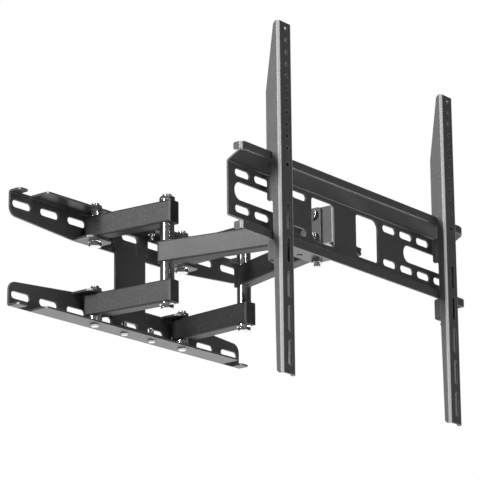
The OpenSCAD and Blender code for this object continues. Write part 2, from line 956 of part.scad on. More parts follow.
module tilt_fork() {
    front = tilt_y - fork_front;
    color(coat)
        head_frame()
            difference() {
                intersection() {
                    tilt_u(fork_half, fork_base_y + sheet / 2, front);
                    sideways(-fork_half, 2 * fork_half)
                        union() {
                            ear_outline(yoke_wall_y, front, fork_ear_r);
                            translate([yoke_wall_y - 2 * fork_ear_r, tilt_low])
                                square([2 * fork_ear_r, tilt_high - tilt_low]);
                        }
                }
                sideways(-fork_half - 1, 2 * fork_half + 2)
                    translate([tilt_y, tilt_pivot_z]) {
                        circle(r = tilt_bolt_r + running);
                        lock_arc_2d(tilt_bolt_r + loose);
                    }
            }
}

module tilt_bracket() {
    back = tilt_y + bracket_ear_back;
    color(coat)
        head_frame()
            difference() {
                intersection() {
                    tilt_u(bracket_half, tilt_base_y + sheet / 2, back);
                    sideways(-bracket_half, 2 * bracket_half)
                        union() {
                            ear_outline(back, tilt_base_y, bracket_ear_r);
                            translate([tilt_base_y, tilt_low])
                                square([bracket_ear_r, tilt_high - tilt_low]);
                        }
                }
                for (z = [tilt_pivot_z, tilt_lock_z])
                    sideways(-bracket_half - 1, 2 * bracket_half + 2)
                        translate([tilt_y, z])
                            circle(r = tilt_bolt_r + running);
            }
}

// Turns a fastener that points up into one that points to +X on the tilt axis
module tilt_place(z) {
    head_frame()
        translate([0, tilt_y, z])
            rotate([0, 90, 0])
                children();
}

module tilt_pivot_bolt() {
    grip = 2 * fork_half + nut_h(tilt_bolt_r) + tilt_tip;
    color(zinc)
        tilt_place(tilt_pivot_z) {
            translate([0, 0, -fork_half - head_h(tilt_bolt_r)])
                hex(tilt_bolt_r, head_h(tilt_bolt_r));
            translate([0, 0, -fork_half - eps])
                cylinder(r = tilt_bolt_r, h = grip);
        }
}

module tilt_pivot_nut() {
    color(zinc)
        tilt_place(tilt_pivot_z)
            translate([0, 0, fork_half])
                nut(tilt_bolt_r);
}

module tilt_lock_bolt() {
    color(zinc)
        tilt_place(tilt_lock_z) {
            translate([0, 0, -lock_bolt_left])
                cylinder(r = tilt_bolt_r, h = lock_bolt_left + lock_bolt_right - knob_len / 2);
            translate([0, 0, fork_half + slide_gap])
                cylinder(r = collar_r, h = washer_h);
        }
}

module tilt_lock_nut() {
    color(zinc)
        tilt_place(tilt_lock_z)
            translate([0, 0, -fork_half - slide_gap - nut_h(tilt_bolt_r)])
                nut(tilt_bolt_r);
}

module tilt_knob() {
    color(plastic)
        tilt_place(tilt_lock_z)
            translate([0, 0, lock_bolt_right - knob_len])
                difference() {
                    linear_extrude(knob_len)
                        union() {
                            circle(r = 0.8 * knob_r);
                            for (i = [0 : knob_lobes - 1])
                                rotate(i * 360 / knob_lobes)
                                    translate([0.75 * knob_r, 0])
                                        circle(r = 0.25 * knob_r);
                        }
                    translate([0, 0, -1])
                        cylinder(r = tilt_bolt_r + running, h = 1 + knob_len / 2 + eps);
                }
}

// Crossbar: folded section, then its slots, ovals and windows
module bar_section_2d() {
    web = bar_sheet / 2;
    lip = -bar_depth + bar_sheet / 2;
    slant = bar_half + bar_rise + 1;
    upper = [[lip, bar_lip_top], [lip, slant], [web, bar_half + 1]];
    lower = [for (point = backward(upper)) [point[0], -point[1]]];
    slanted_2d(concat(upper, lower), bar_sheet);
}

module window_2d() {
    width = window_to - window_from;
    translate([(window_from + window_to) / 2, 0])
        difference() {
            round_box_2d([width, 2 * window_half], window_r);
            translate([width / 2 - window_big_r, window_half - window_big_r])
                difference() {
                    square(window_big_r + 1);
                    circle(r = window_big_r);
                }
        }
}

// A tab folded back from the end of a lip
module bar_tab() {
    lip = -bar_depth + bar_sheet / 2;
    end = bar_len / 2 - bar_sheet / 2;
    top = bar_lip_top - bar_tab_gap;
    intersection() {
        translate([0, 0, top - bar_tab_h])
            linear_extrude(bar_tab_h)
                folded_2d([[end - 2 * bar_tab_cut, lip], [end, lip], [end, lip + bar_tab_depth]], bar_sheet);
        sideways(0, bar_len)
            translate([-bar_depth, top - bar_tab_h / 2])
                round_box_2d([2 * bar_tab_depth, bar_tab_h], bar_tab_r);
    }
}

// Room cut from the lip beside a tab
module bar_tab_room() {
    translate([bar_len / 2 - bar_tab_cut, -bar_depth - 1, bar_half + bar_rise])
        cube([bar_tab_cut + 1, bar_sheet + bar_tab_cut, bar_lip_top]);
}

// What stands at all four ends of the lips
module at_lip_ends() {
    for (end = [0, 1], up = [0, 1])
        mirror([end, 0, 0])
            mirror([0, 0, up])
                children();
}

module bar_holes_2d() {
    for (i = [0 : 3], row = [-1, 1])
        translate([bar_slot_first + i * bar_slot_pitch, row * bar_slot_z])
            slot_2d(bar_slot_len, bar_slot_w);
    translate([(oval_from + oval_to) / 2, 0])
        slot_2d(oval_to - oval_from, oval_h);
}

module crossbar() {
    color(coat)
        bar_frame()
            difference() {
                union() {
                    difference() {
                        sideways(-bar_len / 2, bar_len)
                            bar_section_2d();
                        at_lip_ends()
                            bar_tab_room();
                    }
                    at_lip_ends()
                        bar_tab();
                }
                for (end = [0, 1])
                    mirror([end, 0, 0])
                        upright(-1, bar_sheet + 2)
                            bar_holes_2d();
                for (turn = [0, 180])
                    rotate([0, turn, 0])
                        upright(-1, bar_sheet + 2)
                            window_2d();
            }
}

// TV brackets: a channel whose sides hook behind the crossbar's upper lip
module bracket_side_2d() {
    front = -bracket_front;
    back = front + bracket_depth;
    top = bracket_h / 2;
    low_y = front + bracket_low_depth;
    difference() {
        polygon([
            [front, top],
            [front + bracket_top_depth - end_cut, top], [front + bracket_top_depth, top - end_cut],
            [back, bracket_full_z], [back, pad_low + pad_cut], [back - pad_cut, pad_low],
            [low_y + pad_cut, pad_low], [low_y, pad_low - pad_cut],
            [front + bracket_end_depth, end_cut - top], [front + bracket_end_depth - end_cut, -top],
            [front, -top]
        ]);
        // Notch round the crossbar's upper lip, open to the back below the hook
        translate([lip_notch_y, hook_z - notch_r])
            square([hook_y - lip_notch_y, notch_top - hook_z + notch_r]);
        translate([lip_notch_y + notch_r, pad_high])
            square([back - lip_notch_y, hook_z - pad_high]);
        translate([lip_notch_y, pad_high + notch_r])
            square([back - lip_notch_y, hook_z - pad_high - notch_r]);
        translate([lip_notch_y + notch_r, pad_high + notch_r])
            circle(r = notch_r);
    }
}

// Plan of a channel that opens to the back
module channel_2d(width, depth, t) {
    side = (width - t) / 2;
    folded_2d([[-side, depth], [-side, t / 2], [side, t / 2], [side, depth]], t);
}

module tv_bracket(x) {
    color(coat)
        bar_frame()
            translate([x, 0, 0])
                difference() {
                    intersection() {
                        translate([0, -bracket_front, -bracket_h / 2])
                            linear_extrude(bracket_h)
                                channel_2d(bracket_w, bracket_depth, bracket_sheet);
                        sideways(-bracket_w / 2, bracket_w)
                            bracket_side_2d();
                    }
                    upright(-bracket_front - 1, bracket_sheet + 2)
                        translate([hole_off, 0]) {
                            for (i = [0 : holes - 1])
                                translate([0, bracket_h / 2 - hole_drop - i * hole_pitch])
                                    circle(r = hole_r);
                            translate([0, lip_hole_z])
                                circle(r = lip_hole_r);
                            for (i = [0 : bracket_slots - 1])
                                translate([0, slot_first_z - i * slot_pitch])
                                    rotate(90)
                                        slot_2d(slot_len, slot_w);
                        }
                }
}

module left_tv_bracket() { tv_bracket(left_bracket_x); }
module right_tv_bracket() { tv_bracket(right_bracket_x); }

// Lock plate: a U between the bracket's sides, with the lock screw in its floor
module lock_plate(x) {
    back = -bracket_front + bracket_depth + 1;
    // Behind the inner side of the bracket's folds
    front = -bracket_front + bracket_sheet / 2 + bend_r + slide_gap;
    side = bracket_inner - running - bracket_sheet / 2;
    top = lock_top;
    floor = top - lock_h + bracket_sheet / 2;
    color(coat)
        bar_frame()
            translate([x, 0, 0])
                difference() {
                    intersection() {
                        upright(front, back - front)
                            folded_2d(
                                [[-side, top], [-side, floor], [side, floor], [side, top]],
                                bracket_sheet
                            );
                        sideways(-bracket_inner, 2 * bracket_inner)
                            translate([(front + back) / 2, lock_top - lock_h / 2])
                                round_box_2d([back - front, lock_h], lock_corner_r);
                    }
                    translate([0, lock_y, lock_top - lock_h - 1])
                        cylinder(r = lock_screw_r + running, h = bracket_sheet + 2);
                }
}

module left_lock_plate() { lock_plate(left_bracket_x); }
module right_lock_plate() { lock_plate(right_bracket_x); }

module lock_screw(x) {
    color(zinc)
        bar_frame()
            translate([x, lock_y, 0]) {
                translate([0, 0, lock_top - lock_h - lock_head_gap])
                    mirror([0, 0, 1])
                        round_head(lock_head_r, lock_head_h);
                translate([0, 0, lock_top - lock_h - lock_head_gap - eps])
                    cylinder(r = lock_screw_r, h = lock_h + lock_head_gap);
            }
}

module left_lock_screw() { lock_screw(left_bracket_x); }
module right_lock_screw() { lock_screw(right_bracket_x); }

upper_wall_rail();
lower_wall_rail();
centre_plate();
plate_screws();
plate_nuts();
wall_pivot_bolts();
wall_pivot_nuts();
wall_pivot_washers();
wall_pivot_bushes();
left_upper_first_link();
left_lower_first_link();
left_elbow_pin();
left_elbow_sleeves();
left_elbow_washers();
left_elbow_nut();
left_second_link();
right_upper_first_link();
right_lower_first_link();
right_elbow_pin();
right_elbow_sleeves();
right_elbow_washers();
right_elbow_nut();
right_second_link();
yoke();
left_yoke_pin();
right_yoke_pin();
yoke_nuts();
yoke_washers();
tilt_fork();
tilt_bracket();
tilt_pivot_bolt();
tilt_pivot_nut();
tilt_lock_bolt();
tilt_lock_nut();
tilt_knob();
crossbar();
left_tv_bracket();
right_tv_bracket();
left_lock_plate();
right_lock_plate();
left_lock_screw();
right_lock_screw();
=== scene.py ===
import json
import math

import bmesh
import bpy
from bpy.props import FloatProperty, FloatVectorProperty, IntProperty, PointerProperty
from mathutils import Matrix, Vector


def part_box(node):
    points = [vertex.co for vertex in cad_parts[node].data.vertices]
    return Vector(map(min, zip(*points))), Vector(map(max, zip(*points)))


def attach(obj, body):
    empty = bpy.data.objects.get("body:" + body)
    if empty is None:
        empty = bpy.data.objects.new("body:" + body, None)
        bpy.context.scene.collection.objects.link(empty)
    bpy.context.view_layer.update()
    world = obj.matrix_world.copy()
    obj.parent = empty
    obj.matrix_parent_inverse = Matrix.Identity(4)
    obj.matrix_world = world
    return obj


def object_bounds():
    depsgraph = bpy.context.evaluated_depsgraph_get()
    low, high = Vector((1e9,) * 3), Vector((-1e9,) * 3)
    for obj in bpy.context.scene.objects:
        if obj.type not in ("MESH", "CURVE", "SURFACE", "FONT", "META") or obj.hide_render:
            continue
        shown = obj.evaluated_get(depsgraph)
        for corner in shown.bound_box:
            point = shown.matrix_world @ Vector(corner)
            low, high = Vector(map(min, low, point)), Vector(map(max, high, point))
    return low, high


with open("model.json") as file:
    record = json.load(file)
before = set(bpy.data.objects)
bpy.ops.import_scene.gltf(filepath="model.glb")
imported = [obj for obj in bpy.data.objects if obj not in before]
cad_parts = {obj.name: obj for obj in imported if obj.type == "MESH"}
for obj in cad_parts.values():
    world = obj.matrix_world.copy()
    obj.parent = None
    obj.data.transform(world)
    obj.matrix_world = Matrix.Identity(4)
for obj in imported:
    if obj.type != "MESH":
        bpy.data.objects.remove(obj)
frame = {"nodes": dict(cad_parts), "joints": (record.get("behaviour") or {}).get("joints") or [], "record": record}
CAD_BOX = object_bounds()

bl_info = {
    "name": "TV mount dresser",
    "version": (1, 0, 0),
    "blender": (4, 5, 0),
    "location": "View3D > Sidebar > TV mount",
    "description": "Finishes, threads, weld beads and stage for a folding television wall mount",
    "category": "Object",
}

MM = 0.001
UP = Vector((0, 0, 1))

# The slots of the record that the finishes stand for
SHEET_SLOT = "black_coat"
ARM_SLOT = "arm_coat"
ZINC_SLOT = "zinc_steel"
KNOB_SLOT = "knob_plastic"

# Materials that threads and weld beads share with the CAD nodes
SHEET_MATERIAL = "black_powder_coat"
ZINC_MATERIAL = "bright_zinc_plate"

# Samples that soften an edge, and how far the softened normal turns where the painted edge highlight and wear
# start and are full
EDGE_SAMPLES = 6
EDGE_BEND = (0.004, 0.09)

# Colour of the paler coat on edges and folds: a painted highlight, which on edges also stands for a coat rubbed
# thin
PAINTED_HIGHLIGHT_AND_WEAR_COLOUR = (0.3, 0.3, 0.31)

# Size of a coat's slow patches, and what patches and grain do to its roughness
PATCH_SIZE = 38 * MM
PATCH_ROUGH = 0.05
GRAIN_ROUGH = 0.08

# Least and most strength of flecks, by patch, and of the painted highlight and wear, by grain
FLECK_STRENGTH = (0.75, 1.25)
PAINTED_HIGHLIGHT_AND_WEAR_STRENGTH = (0.45, 1.35)

# Further turn of a fold from where its painted highlight begins to where it is full
FOLD_HIGHLIGHT_RISE = 0.22

# Where zinc's bloom shows in colour and in gloss, and what bloom and scuffs add to roughness
BLOOM_COLOUR = (0.35, 0.7)
BLOOM_HAZE = (0.4, 0.75)
BLOOM_ROUGH = 0.05
SCUFF_ROUGH = 0.02

# How much paler the plastic's sparks are, where they show, and what they add to roughness
SPARK_PALER = 1.8
SPARK_SHOWS = (0.4, 0.8)
SPARK_ROUGH = 0.1

# Radius and pitch of each size of thread
M5 = (2.5 * MM, 0.8 * MM)
M6 = (3 * MM, 1 * MM)
M8 = (4 * MM, 1.25 * MM)
M10_FINE = (5 * MM, 1.25 * MM)
M12_FINE = (6 * MM, 1.5 * MM)

# Heights of nuts and heads, and places and lengths of threads, as the fasteners in the frame
# have them. A lock bolt's end is its place along the axis, from the knob's joint, and its length.
WALL_NUT_HIGH = 5.5 * MM
WALL_BOLT_TIP = 3 * MM
LOCK_SCREW_HEAD = 3.2 * MM
TILT_NUT_FACE = 27.9 * MM
TILT_BOLT_TIP = 4 * MM
LOCK_BOLT_ENDS = {"left": (-46 * MM, 17.6 * MM), "right": (25.4 * MM, 28 * MM)}
PLATE_SCREW_INSET = 5.55 * MM
PLATE_NUT_HIGH = 3.3 * MM
PLATE_SCREW_TIP = 60 * MM

# A thread's fewest sections, the turns over which its ends rise, and the least rise
THREAD_SECTIONS = 8
THREAD_FADE = 1 / 3
THREAD_TIP = 0.05

# A bead's fewest sections, and the radius of its very ends as a share of the whole
BEAD_SECTIONS = 12
BEAD_TIP = 0.2

# Each pair of weld beads: name, body, distance to either side of the tilt axis's middle,
# distance towards the television, lowest and highest end
WELDS = (
    ("fork_weld", "yoke_head", 22.6 * MM, -16.4 * MM, -15 * MM, 15 * MM),
    ("tilt_bracket_weld", "tilt_head", 19.6 * MM, 27.3 * MM, -14 * MM, 26 * MM),
)

# Each light: name, turn from +X towards +Y and rise in degrees, distance, width and height
# in metres, and power in watts. The first three are narrow, so pins and folds shine in lines.
LIGHTS = (
    ("side_light", 170, 17, 2.6, 0.2, 1.4, 86),
    ("strip_light", 250, 10, 2.4, 0.12, 2.0, 34),
    ("front_light", -40, -16, 2.6, 1.6, 0.2, 16),
    ("low_light", 45, -22, 2.6, 1.6, 1.6, 6),
    ("top_light", 235, 70, 2.7, 2.4, 2.4, 55),
)

# Size and shade of the floor's slow clouds, and its roughness
CLOUD_SIZE = 400 * MM
CLOUD_SHADE = 0.97
FLOOR_ROUGH = 0.8

# How far leftward the air's light starts to rise and is full, and its share on the right
AIR_RISE = (-0.2, 0.9)
AIR_RIGHT = 0.35

# Width of the camera's sensor, in the lens's millimetres
SENSOR_WIDTH = 36


class Signal:
    """A socket's output that can be used in sums and products; each step adds a Math node."""

    def __init__(self, nodes, socket):
        self.nodes = nodes
        self.socket = socket

    def step(self, operation, *terms):
        return self.nodes.node("ShaderNodeMath", {"operation": operation}, dict(enumerate(terms)))

    def __add__(self, other):
        return self.step("ADD", self, other)

    def __radd__(self, other):
        return self.step("ADD", other, self)

    def __sub__(self, other):
        return self.step("SUBTRACT", self, other)

    def __rsub__(self, other):
        return self.step("SUBTRACT", other, self)

    def __mul__(self, other):
        return self.step("MULTIPLY", self, other)

    def __rmul__(self, other):
        return self.step("MULTIPLY", other, self)

    def __abs__(self):
        return self.step("ABSOLUTE", self)

    def larger(self, other):
        """The larger of two signals."""
        return self.step("MAXIMUM", self, other)

    def spread(self, low, high):
        """Low where the signal is 0, high where it is 1, and in line with it in between."""
        return low + (high - low) * self

    def between(self, low, high):
        """0 below low, 1 above high, and a smooth rise in between."""
        return self.nodes.node(
            "ShaderNodeMapRange",
            {"interpolation_type": "SMOOTHSTEP"},
            {"Value": self, "From Min": low, "From Max": high},
            output="Result",
        )

    def part(self, axis):
        """A vector's part along X, Y or Z."""
        return self.nodes.node("ShaderNodeSeparateXYZ", inputs={0: self}, output=axis)


class NodeTree:
    """The nodes of one material or world under construction."""

    def __init__(self, owner):
        owner.use_nodes = True
        self.tree = owner.node_tree

    def feed(self, node, sockets):
        """Links signals to a node's inputs, and sets plain values on them."""
        for key, value in sockets.items():
            if isinstance(value, Signal):
                self.tree.links.new(value.socket, node.inputs[key])
            else:
                node.inputs[key].default_value = value

    def node(self, kind, settings=None, inputs=None, output=0):
        """A node of that kind with its settings and inputs set, and its output as a signal."""
        made = self.tree.nodes.new(kind)
        for name, value in (settings or {}).items():
            setattr(made, name, value)
        self.feed(made, inputs or {})
        return Signal(self, made.outputs[output])


class Finish(NodeTree):
    """One material under construction, with its Principled shader."""

    def __init__(self, name):
        self.material = bpy.data.materials.new(name)
        super().__init__(self.material)
        self.shader = self.tree.nodes["Principled BSDF"]

    def places(self):
        """Coordinates that stay with the piece, in metres."""
        return self.node("ShaderNodeTexCoord", output="Object")

    def noise(self, size, detail=2, roughness=0.5):
        """Cloudy noise whose patches are about that many metres across."""
        inputs = {"Scale": 1 / size, "Detail": detail, "Roughness": roughness}
        return self.node("ShaderNodeTexNoise", inputs={"Vector": self.places(), **inputs})

    def blend(self, share, first, second):
        """A colour between two, each a signal or three numbers, by a share from 0 to 1."""
        ends = [end if isinstance(end, Signal) else (*end, 1) for end in (first, second)]
        # A Mix node keeps its two colours in inputs 6 and 7, and their mix in output 2
        inputs = {0: share, 6: ends[0], 7: ends[1]}
        return self.node("ShaderNodeMix", {"data_type": "RGBA"}, inputs, output=2)

    def softened(self, radius):
        """The normal, rounded off near edges within that radius."""
        return self.node("ShaderNodeBevel", {"samples": EDGE_SAMPLES}, {"Radius": radius})

    def edges(self, reach):
        """1 on sharp edges and along the borders of folds, 0 on flat faces: the mask of the painted edge highlight
        and wear.
        """
        soft = self.softened(reach)
        true = self.node("ShaderNodeNewGeometry", output="Normal")
        same = self.node(
            "ShaderNodeVectorMath", {"operation": "DOT_PRODUCT"}, {0: soft, 1: true}, output="Value"
        )
        return (1 - same).between(*EDGE_BEND)

    def painted_fold_highlight_mask(self, low, high):
        """1 where a face stands upright and turns between the piece's two main directions: the mask of the painted
        fold highlight.
        """
        facing = self.node("ShaderNodeTexCoord", output="Normal")
        return abs(facing.part("X") * facing.part("Y")).between(low, high)

    def set(self, **sockets):
        """Feeds the shader's sockets, named with _ for a blank."""
        self.feed(self.shader, {name.replace("_", " "): value for name, value in sockets.items()})

    def relief(self, height, depth, edge):
        """Softened edges with a fine relief on top."""
        inputs = {"Strength": 1, "Distance": depth, "Height": height, "Normal": self.softened(edge)}
        self.set(Normal=self.node("ShaderNodeBump", inputs=inputs))


class SheetFinish(bpy.types.PropertyGroup):
    """Black powder coat of the folded sheets."""

    colour: FloatVectorProperty(
        name="Colour", description="Colour of the coat", subtype="COLOR", size=3,
        default=(0.022, 0.022, 0.023),
    )
    fleck: FloatVectorProperty(
        name="Fleck", description="Colour of the coat's lighter flecks", subtype="COLOR", size=3,
        default=(0.055, 0.055, 0.057),
    )
    fleck_low: FloatProperty(
        name="Fleck start", description="Height of the grain at which flecks begin",
        subtype="FACTOR", default=0.5, min=0, max=1,
    )
    fleck_high: FloatProperty(
        name="Fleck full", description="Height of the grain at which flecks are full",
        subtype="FACTOR", default=0.72, min=0, max=1,
    )
    grain: FloatProperty(
        name="Grain", description="Size of the coat's grain", unit="LENGTH", default=0.7 * MM,
        min=0.1 * MM,
    )
    bump: FloatProperty(
        name="Grain height", description="Height of the coat's grain", unit="LENGTH",
        default=0.05 * MM, min=0,
    )
    sheen: FloatProperty(
        name="Roughness", description="Roughness of the coat", subtype="FACTOR", default=0.33,
        min=0, max=1,
    )
    edge: FloatProperty(
        name="Edge", description="Softened edge of the sheet", unit="LENGTH", default=0.35 * MM,
        min=0,
    )
    # The next two set a paler coat near edges: a painted highlight, with wear
    edge_highlight_and_wear_reach: FloatProperty(
        name="Worn reach", description="Reach of the paler coat from an edge", unit="LENGTH",
        default=1.2 * MM, min=0,
    )
    edge_highlight_and_wear_share: FloatProperty(
        name="Worn share", description="Strength of the paler coat at edges", subtype="FACTOR",
        default=0.35, min=0, max=1,
    )
    # The next two set a paler coat on upright folds, which is a painted highlight
    fold_highlight_share: FloatProperty(
        name="Fold share", description="Strength of the paler coat on upright folds",
        subtype="FACTOR", default=0.85, min=0, max=1,
    )
    fold_highlight_low: FloatProperty(
        name="Fold start", description="Turn of a fold at which the paler coat begins",
        default=0.12, min=0, max=0.5,
    )


class ArmFinish(bpy.types.PropertyGroup):
    """Textured charcoal coat of the arms."""

    colour: FloatVectorProperty(
        name="Colour", description="Colour of the coat", subtype="COLOR", size=3,
        default=(0.004, 0.004, 0.0043),
    )
    fleck: FloatVectorProperty(
        name="Fleck", description="Colour of the coat's lighter flecks", subtype="COLOR", size=3,
        default=(0.045, 0.045, 0.0465),
    )
    fleck_low: FloatProperty(
        name="Fleck start", description="Height of the grain at which flecks begin",
        subtype="FACTOR", default=0.52, min=0, max=1,
    )
    fleck_high: FloatProperty(
        name="Fleck full", description="Height of the grain at which flecks are full",
        subtype="FACTOR", default=0.66, min=0, max=1,
    )
    grain: FloatProperty(
        name="Grain", description="Size of the coat's grain", unit="LENGTH", default=1.3 * MM,
        min=0.1 * MM,
    )
    bump: FloatProperty(
        name="Grain height", description="Height of the coat's grain", unit="LENGTH",
        default=0.2 * MM, min=0,
    )
    sheen: FloatProperty(
        name="Roughness", description="Roughness of the coat", subtype="FACTOR", default=0.46,
        min=0, max=1,
    )
    edge: FloatProperty(
        name="Edge", description="Softened edge of the tube", unit="LENGTH", default=0.5 * MM,
        min=0,
    )
    # The next two set a paler coat near edges: a painted highlight, with wear
    edge_highlight_and_wear_reach: FloatProperty(
        name="Worn reach", description="Reach of the paler coat from an edge", unit="LENGTH",
        default=0.8 * MM, min=0,
    )
    edge_highlight_and_wear_share: FloatProperty(
        name="Worn share", description="Strength of the paler coat at edges", subtype="FACTOR",
        default=0.25, min=0, max=1,
    )
    # The next two set a paler coat on upright folds, which is a painted highlight
    fold_highlight_share: FloatProperty(
        name="Fold share", description="Strength of the paler coat on upright folds",
        subtype="FACTOR", default=0.3, min=0, max=1,
    )
    fold_highlight_low: FloatProperty(
        name="Fold start", description="Turn of a fold at which the paler coat begins",
        default=0.3, min=0, max=0.5,
    )


class ZincFinish(bpy.types.PropertyGroup):
    """Bright zinc plate of the pins, bolts, nuts and screws."""

    colour: FloatVectorProperty(
        name="Colour", description="Colour of the plate", subtype="COLOR", size=3,
        default=(0.5, 0.5, 0.515),
    )
    dull: FloatVectorProperty(
        name="Dull", description="Colour of its duller patches", subtype="COLOR", size=3,
        default=(0.38, 0.38, 0.39),
    )
    bloom: FloatProperty(
        name="Bloom", description="Size of its milky patches", unit="LENGTH", default=5 * MM,
        min=0.1 * MM,
    )
    scuff: FloatProperty(
        name="Scuff", description="Size of its scuffs", unit="LENGTH", default=0.6 * MM,
        min=0.1 * MM,
    )
    bump: FloatProperty(
        name="Scuff depth", description="Depth of its scuffs", unit="LENGTH",
        default=0.0006 * MM, min=0,
    )
    sheen: FloatProperty(
        name="Roughness", description="Roughness of the plate", subtype="FACTOR", default=0.1,
        min=0, max=1,
    )
    edge: FloatProperty(
        name="Edge", description="Softened edge of heads and nuts", unit="LENGTH",
        default=0.4 * MM, min=0,
    )


class KnobFinish(bpy.types.PropertyGroup):
    """Moulded black plastic of the star knob."""

    colour: FloatVectorProperty(
        name="Colour", description="Colour of the plastic", subtype="COLOR", size=3,
        default=(0.016, 0.016, 0.017),
    )
    grain: FloatProperty(
        name="Grain", description="Size of its spark texture", unit="LENGTH", default=0.5 * MM,
        min=0.1 * MM,
    )
    bump: FloatProperty(
        name="Grain height", description="Height of its spark texture", unit="LENGTH",
        default=0.04 * MM, min=0,
    )
    sheen: FloatProperty(
        name="Roughness", description="Roughness of the plastic", subtype="FACTOR",
        default=0.38, min=0, max=1,
    )
    edge: FloatProperty(
        name="Edge", description="Softened edge of the lobes", unit="LENGTH",
        default=0.8 * MM, min=0,
    )


class ThreadSizes(bpy.types.PropertyGroup):
    """Screw threads on the shanks that show."""

    rise: FloatProperty(
        name="Rise", description="Height of a thread over its shank", unit="LENGTH",
        default=0.28 * MM, min=0,
    )
    root: FloatProperty(
        name="Root", description="Depth of a thread's foot inside its shank", unit="LENGTH",
        default=0.12 * MM, min=0,
    )
    share: FloatProperty(
        name="Width", description="Width of a thread as a share of its pitch", subtype="FACTOR",
        default=0.8,
    )
    crest: FloatProperty(
        name="Crest", description="Width of a thread's crest as a share of its foot",
        subtype="FACTOR", default=0.15,
    )
    steps: IntProperty(name="Steps", description="Sections in one turn", default=28, min=8)


class WeldSizes(bpy.types.PropertyGroup):
    """Weld beads between head, yoke and crossbar."""

    radius: FloatProperty(
        name="Radius", description="Radius of a bead", unit="LENGTH", default=1.7 * MM,
        min=0.2 * MM,
    )
    ripple: FloatProperty(
        name="Ripple", description="Length of one ripple", unit="LENGTH", default=1.6 * MM,
        min=0.4 * MM,
    )
    swell: FloatProperty(
        name="Swell", description="Rise of a ripple as a share of the radius",
        subtype="FACTOR", default=0.12,
    )
    steps: IntProperty(name="Steps", description="Sections in one ripple", default=6, min=2)
    sides: IntProperty(name="Sides", description="Sides round a bead", default=12, min=6)


class StageSizes(bpy.types.PropertyGroup):
    """Floor, lights and camera."""

    floor_drop: FloatProperty(
        name="Floor drop", description="Floor below the mount's middle", unit="LENGTH", default=3
    )
    floor_span: FloatProperty(
        name="Floor span", description="Side of the floor", unit="LENGTH", default=40
    )
    floor_colour: FloatVectorProperty(
        name="Floor colour", description="Colour of the floor", subtype="COLOR", size=3,
        default=(0.86, 0.86, 0.86),
    )
    floor_glow: FloatProperty(
        name="Floor glow", description="Light of the floor, lit from below like a studio table",
        default=0.9, min=0,
    )
    air: FloatProperty(
        name="Air", description="Strength of the light from all round", default=0.24, min=0
    )
    backdrop: FloatProperty(
        name="Backdrop", description="Brightness of the background", default=1.0, min=0
    )
    camera_place: FloatVectorProperty(
        name="Camera", description="Place of the camera", subtype="XYZ", unit="LENGTH", size=3,
        default=(-2.6094, -2.3724, -0.9722),
    )
    camera_turn: FloatProperty(
        name="Turn", description="Camera's direction, from +Y towards +X", subtype="ANGLE",
        default=math.radians(50.106),
    )
    camera_rise: FloatProperty(
        name="Rise", description="Camera's direction above the horizon", subtype="ANGLE",
        default=math.radians(16.277),
    )
    camera_roll: FloatProperty(
        name="Roll", description="Turn of the picture, clockwise", subtype="ANGLE",
        default=math.radians(0.533),
    )
    camera_lens: FloatProperty(
        name="Lens", description="Focal length on a sensor 36 wide", subtype="DISTANCE_CAMERA",
        default=210.9,
    )


def give(nodes, material):
    """Puts a material on the CAD nodes' own slots."""
    for name in nodes:
        piece = frame["nodes"][name]
        if not piece.material_slots:
            piece.data.materials.append(None)
        for place in piece.material_slots:
            place.link = "OBJECT"
            place.material = material


def nodes_of(slot):
    """The CAD nodes that the record gives to a material slot."""
    parts = frame["record"]["subparts"]
    return [part["node"] for part in parts if part.get("material_slot") == slot]


def joint_place(name):
    """Where a joint's axis stands, in metres."""
    return Vector(next(joint["pos_m"] for joint in frame["joints"] if joint["name"] == name))


def joint_axis(name):
    """A joint's axis as a unit vector."""
    axis = next(joint["axis"] for joint in frame["joints"] if joint["name"] == name)
    return Vector(axis).normalized()


def powder_coat(name, look):
    """A powder coat: fine grain, light flecks, slow changes of gloss, and paler edges and folds that are a painted
    highlight, on edges with wear.
    """
    finish = Finish(name)
    grain = finish.noise(look.grain, detail=3, roughness=0.6)
    patches = finish.noise(PATCH_SIZE)
    flecks = grain.between(look.fleck_low, look.fleck_high) * patches.spread(*FLECK_STRENGTH)
    coat = finish.blend(flecks, look.colour, look.fleck)
    # Edges get a paler coat: a painted highlight, with wear
    painted_edge_highlight_and_wear = finish.edges(look.edge_highlight_and_wear_reach) * look.edge_highlight_and_wear_share
    # Upright folds get a paler coat, which is a painted highlight
    painted_fold_highlight = finish.painted_fold_highlight_mask(look.fold_highlight_low, look.fold_highlight_low + FOLD_HIGHLIGHT_RISE) * look.fold_highlight_share
    painted_highlight_and_wear = painted_edge_highlight_and_wear.larger(painted_fold_highlight) * grain.spread(*PAINTED_HIGHLIGHT_AND_WEAR_STRENGTH)
    gloss = patches.spread(look.sheen - PATCH_ROUGH, look.sheen + PATCH_ROUGH)
    finish.set(
        Base_Color=finish.blend(painted_highlight_and_wear, coat, PAINTED_HIGHLIGHT_AND_WEAR_COLOUR),
        Roughness=gloss + GRAIN_ROUGH * grain,
    )
    finish.relief(grain, look.bump, look.edge)
    return finish.material


def zinc_plate(name, look):
    """Bright zinc: a thin milky bloom and faint scuffs."""
    finish = Finish(name)
    bloom = finish.noise(look.bloom, detail=3)
    scuffs = finish.noise(look.scuff, detail=4, roughness=0.7)
    haze = BLOOM_ROUGH * bloom.between(*BLOOM_HAZE)
    finish.set(
        Base_Color=finish.blend(bloom.between(*BLOOM_COLOUR), look.colour, look.dull),
        Metallic=1.0,
        Roughness=look.sheen + haze + SCUFF_ROUGH * scuffs,
    )
    finish.relief(scuffs, look.bump, look.edge)
    return finish.material


